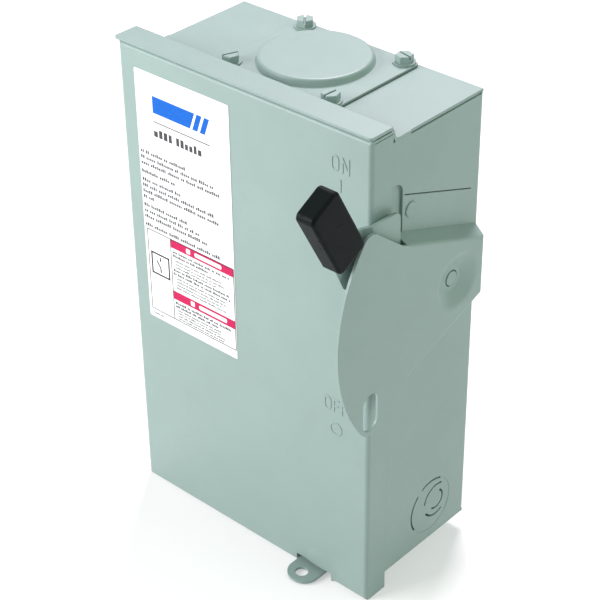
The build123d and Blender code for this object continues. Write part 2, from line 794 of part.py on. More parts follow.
# Insulating wall between the poles, and the clear shield over the line terminals.
barrier_x = sum(pole_x) / 2
with BuildPart() as arc_barrier:
    block((barrier_x - 1, barrier_x + 1), (-52, base_y), (pivot_z + 10, 104))
save(arc_barrier.part, "arc_barrier")

shield_x = (-20, 46)
shield_y = -56.0
shield_top = 118.0
shield_t = 1.5
with BuildPart() as line_shield:
    block(shield_x, (shield_y, shield_y + shield_t), (88, shield_top))
    block(shield_x, (shield_y, base_y), (shield_top - shield_t, shield_top))
    block(shield_x, (base_y - shield_t, base_y), (105, shield_top))
    # A slot over each line terminal lets its wire in.
    for x in pole_x:
        block((x - 7, x + 7), (-32, base_y - shield_t), (shield_top - 2, shield_top + 1), mode=Mode.SUBTRACT)
save(line_shield.part, "line_shield")

# ================================================================ neutral and ground
neutral_x = -57.0
neutral_z = 20.0
with BuildPart() as neutral_insulator:
    block((neutral_x - 12, neutral_x + 12), (-11.5, -sheet), (neutral_z - 38, neutral_z + 38))
    fillet(neutral_insulator.edges().filter_by(Axis.Y), 2.0)
save(neutral_insulator.part, "neutral_insulator")


def terminal_bar(x, y, z, length, along, count):
    """Terminal bar with wire holes across it and a row of screw holes in its front."""
    size = (10, 11, length) if along == "z" else (length, 11, 10)
    with Locations((x, y - 5.5, z)):
        Box(*size)
    step = length / count
    for i in range(count):
        shift = (i - (count - 1) / 2) * step
        spot = (x, z + shift) if along == "z" else (x + shift, z)
        turn = (0, 90, 0) if along == "z" else (0, 0, 0)
        with Locations(Location((spot[0], y - 4.2, spot[1]), turn)):
            Cylinder(2.6, 12, mode=Mode.SUBTRACT)
        with Locations(Plane((spot[0], y - 11, spot[1]), z_dir=(0, -1, 0))):
            Hole(2.1, depth=4)


def bar_screws(x, y, z, length, along, count):
    """The screws of a terminal bar."""
    step = length / count
    for i in range(count):
        shift = (i - (count - 1) / 2) * step
        spot = (x, z + shift) if along == "z" else (x + shift, z)
        slotted_screw(spot[0], y - 13.2, spot[1], 2.05, 3.3, 2.2, 4.6)


neutral = (neutral_x, -11.5, neutral_z, 60, "z", 5)
with BuildPart() as neutral_bar:
    terminal_bar(*neutral)
save(neutral_bar.part, "neutral_bar")

with BuildPart() as neutral_screws:
    bar_screws(*neutral)
save(neutral_screws.part, "neutral_screws")

ground = (-30.0, -sheet, -92.0, 48, "x", 4)
with BuildPart() as ground_bar:
    terminal_bar(*ground)
save(ground_bar.part, "ground_bar")

with BuildPart() as ground_screws:
    bar_screws(*ground)
save(ground_screws.part, "ground_screws")

# ================================================================ front cover
notch_x0, notch_x1 = 29.4, 53.6
notch_top_z = -132.0
mark_h = 0.25                   # how far the switch markings stand proud
stroke = 0.9
mark_x = 59.6
swell_x, swell_z = 46.5, -130.5

with BuildPart() as front_cover:
    block((cover_left, cover_right), (front_y, front_y + right_flange), (cover_low, cover_high))
    fillet(front_cover.faces().sort_by(Axis.Y)[0].edges(), cover_bend)
    block(
        (cover_left + sheet, cover_right - sheet),
        (cover_in, front_y + right_flange + 1),
        (cover_low + sheet, cover_high - sheet),
        mode=Mode.SUBTRACT,
    )
    # The other flanges are shallower than the right one.
    for x, z, keep in (
        ((cover_left - 1, cover_left + sheet + 1), (cover_low - 1, cover_high + 1), left_flange),
        ((cover_left - 1, cover_right - sheet), (cover_high - sheet - 1, cover_high + 1), top_flange),
        ((cover_left - 1, cover_right - sheet), (cover_low - 1, cover_low + sheet + 1), bottom_flange),
    ):
        block(x, (front_y + keep, front_y + right_flange + 1), z, mode=Mode.SUBTRACT)
    # Soft swelling over the hasp, then the notch that clears it.
    with BuildSketch(Plane.XY.offset(swell_z)):
        with BuildLine():
            Line((swell_x, front_y + 0.4), (swell_x, front_y - 0.8))
            ThreePointArc(
                (swell_x, front_y - 0.8),
                (swell_x + 5.5, front_y - 0.55),
                (swell_x + 10.5, front_y + 0.02),
            )
            Polyline((swell_x + 10.5, front_y + 0.02), (swell_x + 10.5, front_y + 0.4), (swell_x, front_y + 0.4))
        make_face()
    revolve(axis=Axis((swell_x, 0, swell_z), (0, 1, 0)), revolution_arc=360)
    block(
        (notch_x0, notch_x1),
        (front_y - 2, front_y + right_flange + 1),
        (cover_low - 6, notch_top_z),
        mode=Mode.SUBTRACT,
    )
    block(
        (notch_x0 - 5, notch_x1 + 5),
        (front_y - 2, front_y + 2),
        (cover_low - 8, cover_low),
        mode=Mode.SUBTRACT,
    )
    # Joint between the top flange and the side flange.
    block(
        (cover_right - 0.8, cover_right + 1),
        (front_y + cover_bend, front_y + right_flange + 1),
        (cover_high - sheet - 0.2, cover_high - sheet + 0.2),
        mode=Mode.SUBTRACT,
    )
    # Pressed switch markings: ON and a bar, OFF and a circle.
    with BuildSketch(Plane.XZ.offset(-front_y - 0.2)):
        on_z, off_z = 115.6, -20.6
        with Locations((mark_x - 3.2, on_z)):
            SlotOverall(8.2, 4.6, rotation=90)
            SlotOverall(8.2 - 1.8 * stroke, 4.6 - 1.8 * stroke, rotation=90, mode=Mode.SUBTRACT)
        bar((mark_x + 1.2, on_z - 3.6), (mark_x + 1.2, on_z + 3.6), stroke)
        bar((mark_x + 1.2, on_z + 3.6), (mark_x + 5.0, on_z - 3.6), stroke)
        bar((mark_x + 5.0, on_z - 3.6), (mark_x + 5.0, on_z + 3.6), stroke)
        bar((mark_x, on_z - 14.0), (mark_x, on_z - 8.2), stroke)
        with Locations((mark_x - 8.0, off_z)):
            SlotOverall(8.2, 4.6, rotation=90)
            SlotOverall(8.2 - 1.8 * stroke, 4.6 - 1.8 * stroke, rotation=90, mode=Mode.SUBTRACT)
        for left in (mark_x - 4.0, mark_x + 1.2):
            bar((left, off_z - 3.6), (left, off_z + 3.6), stroke)
            bar((left, off_z + 3.6), (left + 3.2, off_z + 3.6), stroke)
            bar((left, off_z), (left + 2.6, off_z), stroke)
        with Locations((mark_x - 2.6, off_z - 14.0)):
            Circle(4.0)
            Circle(4.0 - stroke, mode=Mode.SUBTRACT)
    extrude(amount=mark_h + 0.2)
save(front_cover.part, "front_cover")

# Labels: the outside one, and the wiring card inside.
label_t = 0.25
label_x0, label_x1 = -73.6, -9.7
label_z0, label_z1 = -23.2, 122.1
with BuildPart() as cover_label:
    block((label_x0, label_x1), (front_y - label_t, front_y), (label_z0, label_z1))
    fillet(cover_label.edges().filter_by(Axis.Y), 0.8)
save(cover_label.part, "cover_label")

with BuildPart() as wiring_card:
    block((-50, 40), (cover_in, cover_in + label_t), (-90, 60))
save(wiring_card.part, "wiring_card")

# ================================================================ hinges
knuckle_end = 9.0
knuckle_mid = hinge_len - 2 * (knuckle_end + hinge_gap)


def knuckle(z, length, bore):
    """One barrel of the hinge, on the pin's axis."""
    with BuildSketch(Plane.XY.offset(z - length / 2)) as barrel:
        with Locations((hinge_x, hinge_y)):
            Circle(knuckle_r)
            Circle(bore, mode=Mode.SUBTRACT)
    extrude(barrel.sketch, amount=length)


leaf = 1.1
with BuildPart() as body_hinge_leaves:
    for z in hinge_zs:
        block((-half_w - leaf, -half_w), (-66.0, -48.0), (z - hinge_len / 2, z + hinge_len / 2))
        for end in (-1, 1):
            mid = z + end * (hinge_len - knuckle_end) / 2
            knuckle(mid, knuckle_end, hinge_pin_r)
            with BuildSketch(Plane.XY.offset(mid - knuckle_end / 2)):
                with BuildLine():
                    Polyline(
                        (hinge_x + 1.7, hinge_y + 1.2),
                        (hinge_x + 0.6, hinge_y + 2.2),
                        (-half_w - leaf, -63.0),
                        (-half_w, -63.0),
                        (-half_w, -66.5),
                        (hinge_x + 1.7, hinge_y + 1.2),
                    )
                make_face()
            extrude(amount=knuckle_end)
save(body_hinge_leaves.part, "body_hinge_leaves")

with BuildPart() as cover_hinge_leaves:
    for z in hinge_zs:
        flange_in = cover_left + sheet
        block((flange_in, flange_in + leaf), (-81.0, -73.0), (z - hinge_len / 2, z + hinge_len / 2))
        knuckle(z, knuckle_mid, hinge_pin_r + 0.06)
        with BuildSketch(Plane.XY.offset(z - knuckle_mid / 2)):
            with BuildLine():
                Polyline(
                    (flange_in, -74.5),
                    (flange_in, -72.4),
                    (hinge_x - 1.9, hinge_y - 1.2),
                    (hinge_x - 0.7, hinge_y - 2.0),
                    (flange_in + leaf, -74.5),
                    (flange_in, -74.5),
                )
            make_face()
        extrude(amount=knuckle_mid)
save(cover_hinge_leaves.part, "cover_hinge_leaves")

with BuildPart() as hinge_pins:
    for z in hinge_zs:
        with BuildSketch(Plane.XY.offset(z - hinge_len / 2 - 0.6)):
            with Locations((hinge_x, hinge_y)):
                Circle(hinge_pin_r)
        extrude(amount=hinge_len + 1.2)
        with BuildSketch(Plane.XY.offset(z + hinge_len / 2)):
            with Locations((hinge_x, hinge_y)):
                Circle(hinge_pin_r + 0.8)
        extrude(amount=0.9)
save(hinge_pins.part, "hinge_pins")
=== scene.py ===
import json
import math
import random

import bmesh
import bpy
from mathutils import Matrix, Vector


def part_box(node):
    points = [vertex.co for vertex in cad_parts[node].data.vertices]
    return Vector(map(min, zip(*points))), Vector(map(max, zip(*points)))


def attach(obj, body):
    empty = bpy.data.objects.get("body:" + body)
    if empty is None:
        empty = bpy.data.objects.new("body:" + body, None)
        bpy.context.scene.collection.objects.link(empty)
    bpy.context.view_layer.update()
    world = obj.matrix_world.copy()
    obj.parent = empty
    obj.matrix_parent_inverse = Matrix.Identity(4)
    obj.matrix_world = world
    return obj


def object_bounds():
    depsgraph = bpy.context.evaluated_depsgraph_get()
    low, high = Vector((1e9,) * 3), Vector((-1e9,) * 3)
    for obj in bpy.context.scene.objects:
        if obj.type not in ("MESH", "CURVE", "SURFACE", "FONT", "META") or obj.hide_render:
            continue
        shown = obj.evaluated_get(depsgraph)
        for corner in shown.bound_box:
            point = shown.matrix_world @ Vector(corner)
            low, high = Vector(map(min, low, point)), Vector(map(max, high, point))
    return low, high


# Looks of a rainproof disconnect box: paint, label print, grip, metals and mouldings.
# Everything is in metres in the CAD frame: +X right, +Y into the wall, +Z up.

MM = 0.001
WHITE = (1.0, 1.0, 1.0)
rng = random.Random(7)

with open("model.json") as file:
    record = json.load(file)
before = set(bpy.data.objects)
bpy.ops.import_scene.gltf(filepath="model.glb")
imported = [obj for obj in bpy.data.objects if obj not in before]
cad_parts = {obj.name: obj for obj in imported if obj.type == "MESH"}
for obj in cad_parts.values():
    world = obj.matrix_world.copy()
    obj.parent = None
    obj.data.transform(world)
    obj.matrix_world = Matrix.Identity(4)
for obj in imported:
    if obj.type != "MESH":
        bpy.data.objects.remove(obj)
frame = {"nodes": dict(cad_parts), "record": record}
cad_low, cad_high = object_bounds()
cad_nodes = frame["nodes"]
box_centre = (cad_low + cad_high) / 2


# ---------------------------------------------------------------- node trees
class Tree:
    """A material's node tree, built in few words."""

    # Sockets of the colour Mix node, whose names are shared with its other data types.
    mix_a, mix_b, mix_result = 6, 7, 2

    # Cosine between rounded and flat normal where an edge's mask starts, and where it is full.
    edge_start, edge_full = 0.995, 0.86

    def __init__(self, name):
        self.material = bpy.data.materials.new(name)
        self.material.use_nodes = True
        self.nodes = self.material.node_tree.nodes
        self.links = self.material.node_tree.links
        self.shader = self.nodes["Principled BSDF"]
        self.place = self.add("ShaderNodeTexCoord").outputs["Object"]

    def add(self, kind, **settings):
        """New node, with its settings."""
        node = self.nodes.new(kind)
        for key, value in settings.items():
            setattr(node, key, value)
        return node

    def feed(self, socket, value):
        """Link an output to an input, or write a plain value there."""
        if isinstance(value, bpy.types.NodeSocket):
            self.links.new(value, socket)
        else:
            socket.default_value = value

    def set(self, **values):
        """Inputs of the Principled shader by name, with _ for a space."""
        for key, value in values.items():
            self.feed(self.shader.inputs[key.replace("_", " ")], value)

    def stretched(self, scale):
        """Object coordinates, scaled by a factor along each axis."""
        mapping = self.add("ShaderNodeMapping")
        self.feed(mapping.inputs["Vector"], self.place)
        self.feed(mapping.inputs["Scale"], scale)
        return mapping.outputs["Vector"]

    def noise(self, size, detail=2.0, roughness=0.5, stretch=None):
        """Noise from 0 to 1 whose features are about size metres."""
        node = self.add("ShaderNodeTexNoise")
        self.feed(node.inputs["Vector"], self.stretched(stretch) if stretch else self.place)
        self.feed(node.inputs["Scale"], 1.0 / size)
        self.feed(node.inputs["Detail"], detail)
        self.feed(node.inputs["Roughness"], roughness)
        return node.outputs["Fac"]

    def spots(self, size):
        """Distance to the nearest of scattered points, in units of size."""
        node = self.add("ShaderNodeTexVoronoi")
        self.feed(node.inputs["Vector"], self.place)
        self.feed(node.inputs["Scale"], 1.0 / size)
        return node.outputs["Distance"]

    def remap(self, value, low, high, to_low=0.0, to_high=1.0):
        """Value mapped from one range to another, and held inside it."""
        node = self.add("ShaderNodeMapRange")
        for name, number in (
            ("Value", value),
            ("From Min", low),
            ("From Max", high),
            ("To Min", to_low),
            ("To Max", to_high),
        ):
            self.feed(node.inputs[name], number)
        return node.outputs["Result"]

    def calc(self, operation, a, b):
        """Arithmetic on two values."""
        node = self.add("ShaderNodeMath", operation=operation)
        self.feed(node.inputs[0], a)
        self.feed(node.inputs[1], b)
        return node.outputs["Value"]

    def blend(self, factor, a, b):
        """Colour between a and b."""
        node = self.add("ShaderNodeMix", data_type="RGBA")
        self.feed(node.inputs["Factor"], factor)
        self.feed(node.inputs[self.mix_a], a)
        self.feed(node.inputs[self.mix_b], b)
        return node.outputs[self.mix_result]

    def bevel(self, radius):
        """(rounded normal, mask that is 1 on edges) for edges of this radius."""
        node = self.add("ShaderNodeBevel", samples=6)
        self.feed(node.inputs["Radius"], radius)
        flat = self.add("ShaderNodeNewGeometry").outputs["Normal"]
        dot = self.add("ShaderNodeVectorMath", operation="DOT_PRODUCT")
        self.feed(dot.inputs[0], node.outputs["Normal"])
        self.feed(dot.inputs[1], flat)
        mask = self.remap(dot.outputs["Value"], self.edge_start, self.edge_full)
        return node.outputs["Normal"], mask

    def bump(self, height, depth, normal=None):
        """Normal of a surface whose height varies by depth metres."""
        node = self.add("ShaderNodeBump")
        self.feed(node.inputs["Strength"], 1.0)
        self.feed(node.inputs["Distance"], depth)
        self.feed(node.inputs["Height"], height)
        if normal is not None:
            self.feed(node.inputs["Normal"], normal)
        return node.outputs["Normal"]


def tone(colour, factor):
    """A colour made lighter or darker, with its alpha."""
    return (*(min(c * factor, 1.0) for c in colour), 1.0)


# ---------------------------------------------------------------- materials
def painted_steel():
    """Baked enamel: orange peel, faint mottling, specks, rubbed streaks, and a painted highlight on
    the edges.
    """
    paint = (0.250, 0.340, 0.316)
    t = Tree("painted_steel")
    normal, edge = t.bevel(0.4 * MM)
    mottle = t.noise(45 * MM, detail=4.0, roughness=0.55)
    cloud = t.noise(9 * MM, detail=3.0)
    base = t.blend(t.remap(mottle, 0.32, 0.68), tone(paint, 0.965), tone(paint, 1.03))
    base = t.blend(t.remap(cloud, 0.4, 0.75, to_high=0.35), base, tone(paint, 0.94))

    # Grime in scattered specks, and fine rubbed streaks.
    speck = t.remap(t.spots(7 * MM), 0.10, 0.04, to_high=0.5)
    grime = t.calc("MULTIPLY", speck, t.remap(mottle, 0.5, 0.6))
    base = t.blend(grime, base, tone(paint, 0.72))
    rubbed = t.noise(1.1 * MM, stretch=(1.0, 1.0, 0.06))
    streak = t.remap(rubbed, 0.66, 0.78, to_high=0.22)
    base = t.blend(streak, base, tone(paint, 1.12))

    # Paler paint on the edges, in patches: a painted highlight along them.
    patch = t.remap(t.noise(5 * MM, detail=4.0, roughness=0.6), 0.35, 0.62, 0.15, 0.8)
    base = t.blend(t.calc("MULTIPLY", edge, patch), base, tone(paint, 1.08))

    peel = t.noise(1.5 * MM)
    grain = t.noise(0.35 * MM, detail=1.0)
    gloss_loss = t.calc("MULTIPLY", streak, 0.3)
    t.set(
        Base_Color=base,
        Roughness=t.calc("ADD", t.remap(peel, 0.3, 0.7, 0.38, 0.46), gloss_loss),
        Specular_IOR_Level=0.45,
        Normal=t.bump(grain, 0.004 * MM, t.bump(peel, 0.022 * MM, normal)),
    )
    return t.material


def label_film():
    """White polyester film with a faint waviness and a slightly uneven white."""
    t = Tree("label_film")
    cloud = t.noise(18 * MM, detail=3.0)
    bright, dull = (0.88, 0.89, 0.90, 1.0), (0.84, 0.85, 0.845, 1.0)
    t.set(
        Base_Color=t.blend(t.remap(cloud, 0.35, 0.7), bright, dull),
        Roughness=t.remap(t.noise(4 * MM), 0.3, 0.7, 0.26, 0.38),
        Normal=t.bump(t.noise(6 * MM), 0.02 * MM),
    )
    return t.material


def ink(name, colour):
    """Printing ink, slightly uneven, as screen printing leaves it."""
    t = Tree(name)
    cover = t.remap(t.noise(1.2 * MM, detail=3.0), 0.3, 0.7)
    t.set(
        Base_Color=t.blend(cover, tone(colour, 0.9), tone(colour, 1.12)),
        Roughness=t.remap(t.noise(0.8 * MM), 0.3, 0.7, 0.44, 0.58),
        Specular_IOR_Level=0.15,
        Normal=t.bump(t.noise(0.5 * MM), 0.004 * MM),
    )
    return t.material


def moulding(name, colour, roughness, grain=0.7 * MM, depth=0.03 * MM, edge_highlight_and_wear=1.8, gloss=0.5):
    """Moulded plastic: fine spark texture, edges paler as a painted highlight, small scuffs.

    grain and depth are the texture's size and height; the factor after them sets how much paler the
    edges are, a painted highlight, and how much paler the scuffs are, by half that amount.
    """
    t = Tree(name)
    normal, edge = t.bevel(0.35 * MM)
    cloud = t.noise(12 * MM, detail=4.0)
    base = t.blend(t.remap(cloud, 0.3, 0.7), tone(colour, 0.88), tone(colour, 1.12))
    # Paler edges, in patches: a painted highlight along the edges.
    patch = t.remap(t.noise(3 * MM, detail=3.0), 0.35, 0.65, 0.1, 0.6)
    base = t.blend(t.calc("MULTIPLY", edge, patch), base, tone(colour, edge_highlight_and_wear))
    scratch = t.noise(2.2 * MM, detail=3.0, stretch=(1.0, 0.15, 1.0))
    scuff = t.remap(scratch, 0.62, 0.76, to_high=0.35)
    base = t.blend(scuff, base, tone(colour, 1.0 + 0.5 * (edge_highlight_and_wear - 1.0)))
    fine = t.noise(grain)
    surface = t.remap(fine, 0.3, 0.7, roughness - 0.05, roughness + 0.07)
    t.set(
        Base_Color=base,
        Roughness=t.calc("ADD", surface, scuff),
        Specular_IOR_Level=gloss,
        Normal=t.bump(fine, depth, normal),
    )
    return t.material


def metal(name, colour, roughness, stretch=(1.0, 1.0, 1.0), tarnish=0.75):
    """Bare or plated metal with drawn lines, dull patches and a painted highlight on its edges."""
    t = Tree(name)
    normal, edge = t.bevel(0.25 * MM)
    patch = t.remap(t.noise(6 * MM, detail=5.0, roughness=0.6), 0.35, 0.7)
    base = t.blend(patch, tone(colour, 1.0), tone(colour, tarnish))
    # Lighter colour on the edges: a painted highlight.
    base = t.blend(t.calc("MULTIPLY", edge, 0.6), base, tone(colour, 1.25))
    drawn = t.noise(0.4 * MM, stretch=stretch)
    dull = t.remap(patch, 0.0, 1.0, roughness, roughness + 0.16)
    t.set(
        Base_Color=base,
        Metallic=1.0,
        Roughness=t.calc("ADD", dull, t.remap(drawn, 0.3, 0.7, -0.04, 0.06)),
        Normal=t.bump(drawn, 0.006 * MM, normal),
    )
    return t.material


def fibre():
    """Vulcanised fibre of a fuse barrel: tan, wound, slightly fuzzy."""
    t = Tree("fuse_fibre")
    wound = t.noise(0.5 * MM, detail=3.0, stretch=(0.3, 0.3, 1.0))
    cloud = t.noise(5 * MM, detail=3.0)
    dark, light, stain = (0.40, 0.30, 0.17, 1.0), (0.55, 0.44, 0.28, 1.0), (0.33, 0.24, 0.14, 1.0)
    base = t.blend(t.remap(wound, 0.3, 0.7), dark, light)
    base = t.blend(t.remap(cloud, 0.5, 0.8, to_high=0.5), base, stain)
    t.set(Base_Color=base, Roughness=0.72, Normal=t.bump(wound, 0.03 * MM))
    return t.material


def clear_sheet():
    """Clear polycarbonate with a faint tint, light scratches and a slight waviness."""
    t = Tree("clear_polycarbonate")
    scratch = t.remap(t.noise(0.9 * MM, detail=3.0, stretch=(0.08, 1.0, 1.0)), 0.6, 0.75)
    pale, deep = (0.86, 0.92, 0.94, 1.0), (0.80, 0.88, 0.91, 1.0)
    t.set(
        Base_Color=t.blend(t.remap(t.noise(20 * MM), 0.3, 0.7), pale, deep),
        Roughness=t.remap(scratch, 0.0, 1.0, 0.04, 0.22),
        IOR=1.49,
        Transmission_Weight=0.95,
        Normal=t.bump(t.noise(8 * MM), 0.02 * MM),
    )
    return t.material


def card():
    """Printed paper card with visible fibres."""
    t = Tree("paper_card")
    fibres = t.noise(0.6 * MM, detail=4.0, stretch=(1.0, 1.0, 0.25))
    cloud = t.noise(25 * MM, detail=3.0)
    dark, light, aged = (0.80, 0.79, 0.73, 1.0), (0.87, 0.86, 0.81, 1.0), (0.76, 0.73, 0.64, 1.0)
    base = t.blend(t.remap(fibres, 0.3, 0.7), dark, light)
    base = t.blend(t.remap(cloud, 0.5, 0.8, to_high=0.4), base, aged)
    t.set(Base_Color=base, Roughness=0.8, Normal=t.bump(fibres, 0.02 * MM))
    return t.material


def pale_floor():
    """Plain matt studio floor, faintly uneven, brightened by a glow of its own."""
    t = Tree("studio_floor")
    t.set(
        Base_Color=t.blend(t.noise(0.3), (0.55, 0.55, 0.55, 1.0), (0.57, 0.57, 0.57, 1.0)),
        Roughness=0.9,
        Specular_IOR_Level=0.1,
        Emission_Color=(*WHITE, 1.0),
        Emission_Strength=0.40,
    )
    return t.material


GRIP_BLACK = (0.0030, 0.0058, 0.0058)
PHENOLIC_BLACK = (0.022, 0.021, 0.020)
PHENOLIC_RED = (0.30, 0.030, 0.022)

# A material for each material slot of the record.
finishes = {
    "body_paint": painted_steel(),
    "label_film": label_film(),
    "card": card(),
    "dark_grip": moulding("grip_plastic", GRIP_BLACK, 0.44, 0.8 * MM, 0.02 * MM, 2.0, gloss=0.08),
    "zinc": metal("zinc_plate", (0.60, 0.61, 0.59), 0.34),
    "spring_steel": metal("spring_steel", (0.34, 0.34, 0.35), 0.30, tarnish=0.6),
    "moulding": moulding("black_phenolic", PHENOLIC_BLACK, 0.42),
    "moulding_red": moulding("red_phenolic", PHENOLIC_RED, 0.42, edge_highlight_and_wear=1.4),
    "copper": metal("tinned_copper", (0.72, 0.46, 0.33), 0.30, (1.0, 1.0, 0.1), 0.62),
    "lug_aluminium": metal("drawn_aluminium", (0.76, 0.77, 0.78), 0.30, (1.0, 1.0, 0.04), 0.85),
    "fuse_paper": fibre(),
    "clear_shield": clear_sheet(),
}

for row in frame["record"]["subparts"]:
    mesh = cad_nodes[row["node"]].data
    mesh.materials.clear()
    mesh.materials.append(finishes[row["material_slot"]])


# ---------------------------------------------------------------- mesh helpers
def prism(bm, outline, back, front):
    """Closed plate from an outline of (x, z) points, between two values of y."""
    rear = [bm.verts.new((x, back, z)) for x, z in outline]
    face = [bm.verts.new((x, front, z)) for x, z in outline]
    bm.faces.new(face)
    bm.faces.new(list(reversed(rear)))
    for i in range(len(outline)):
        j = (i + 1) % len(outline)
        bm.faces.new((rear[i], rear[j], face[j], face[i]))


def rectangle(x0, x1, z0, z1, radius=0.0, steps=4):
    """Outline of a rectangle, whose corners may be round."""
    if radius <= 0:
        return [(x0, z0), (x1, z0), (x1, z1), (x0, z1)]
    corners = (
        (x1 - radius, z0 + radius, -90),
        (x1 - radius, z1 - radius, 0),
        (x0 + radius, z1 - radius, 90),
        (x0 + radius, z0 + radius, 180),
    )
    points = []
    for cx, cz, start in corners:
        for k in range(steps + 1):
            a = math.radians(start + 90 * k / steps)
            points.append((cx + radius * math.cos(a), cz + radius * math.sin(a)))
    return points


def stroke(start, end, width):
    """Outline of a straight line of some width."""
    (x0, z0), (x1, z1) = start, end
    length = math.hypot(x1 - x0, z1 - z0)
    nx = -(z1 - z0) / length * width / 2
    nz = (x1 - x0) / length * width / 2
    return [(x0 - nx, z0 - nz), (x1 - nx, z1 - nz), (x1 + nx, z1 + nz), (x0 + nx, z0 + nz)]


def mesh_object(name, bm, material):
    """Object in the scene made from a bmesh, which is used up."""
    mesh = bpy.data.meshes.new(name)
    bm.to_mesh(mesh)
    bm.free()
    mesh.materials.append(material)
    obj = bpy.data.objects.new(name, mesh)
    bpy.context.scene.collection.objects.link(obj)
    return obj


def piece(name, bm, material, body):
    """Piece that rides on a body, in the finish it is given."""
    bmesh.ops.recalc_face_normals(bm, faces=bm.faces)
    obj = mesh_object(name, bm, material)
    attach(obj, body)


class Print:
    """Ink on a flat face. Places are in mm from the face's top left corner, x right and z down."""

    sunk_in = 0.01 * MM
    thickness = 0.03 * MM
    on_ink_thickness = 0.05 * MM

    def __init__(self, node, outward):
        """outward is -1 for the node's face towards -Y, and 1 for the one towards +Y."""
        low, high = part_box(node)
        self.left, face = (low.x, low.y) if outward < 0 else (high.x, high.y)
        self.turn = -outward
        self.top = high.z
        self.width = (high.x - low.x) / MM
        self.height = (high.z - low.z) / MM
        self.sunk = face - outward * self.sunk_in
        self.proud = face + outward * self.thickness
        self.over = face + outward * self.on_ink_thickness

    def add(self, bm, outline, on_ink=False):
        """A patch of ink. One that lies on other ink stands a little higher."""
        points = [(self.left + self.turn * x * MM, self.top - z * MM) for x, z in outline]
        prism(bm, points, self.sunk, self.over if on_ink else self.proud)


def greeked(bm, page, x, z, length, height):
    """A row of small blocks in groups, which stands for a line of print and says nothing."""
    end = x + length
    foot = z + height / 2
    block_gap, group_gap = height * 0.2, height * 0.5
    while x < end - height:
        for _ in range(rng.randint(2, 8)):
            width = height * rng.uniform(0.42, 0.62)
            if x + width > end:
                break
            rise = height * rng.choice((1.0, 0.72, 0.72))
            page.add(bm, rectangle(x, x + width, foot - rise, foot))
            x += width + block_gap
        x += group_gap


# ---------------------------------------------------------------- outside label
INK_BLUE = ink("ink_blue", (0.002, 0.110, 0.50))
INK_RED = ink("ink_red", (0.50, 0.010, 0.085))
INK_BLACK = ink("ink_black", (0.012, 0.013, 0.015))
INK_GREY = ink("ink_grey", (0.060, 0.062, 0.068))
INK_WHITE = ink("ink_white", (0.80, 0.78, 0.79))


def on_label(name, bm, material):
    """Piece of print that rides with the label on the cover."""
    piece(name, bm, material, "cover")


def label_head(page):
    """Plain emblem, a blue band and two stripes with slanting ends, and a rule and a row under it."""
    left, top, width, height = 11.7, 11.9, 39.0, 9.3
    foot = top + height
    slant, stripe_w = 3.4, 3.4
    bm = bmesh.new()
    band_end = left + width * 0.66
    page.add(bm, [(left, top), (band_end + slant, top), (band_end, foot), (left, foot)])
    for share in (0.70, 0.83):
        x = left + width * share
        page.add(bm, [(x + slant, top), (x + slant + stripe_w, top), (x + stripe_w, foot), (x, foot)])
    on_label("label_emblem", bm, INK_BLUE)

    rule_z, rule_w = 26.0, 0.6
    row_z, row_h = 32.0, 4.4
    bm = bmesh.new()
    page.add(bm, stroke((left, rule_z), (left + width, rule_z), rule_w))
    greeked(bm, page, left, row_z, width, row_h)
    on_label("label_rule", bm, INK_GREY)


def label_paragraphs(page):
    """Groups of rows, each row given by its share of the full width."""
    margin, full_w, row_h = 1.0, page.width - 9.0, 1.95
    z, row_step, group_step = 45.4, 3.35, 1.5
    groups = ((0.62, 0.93, 1.0), (0.45,), (0.5, 0.93, 1.0, 0.14), (0.6, 0.72, 0.86), (0.98,))
    bm = bmesh.new()
    for group in groups:
        for share in group:
            greeked(bm, page, margin, z, full_w * share, row_h)
            z += row_step
        z += group_step
    on_label("label_paragraphs", bm, INK_GREY)


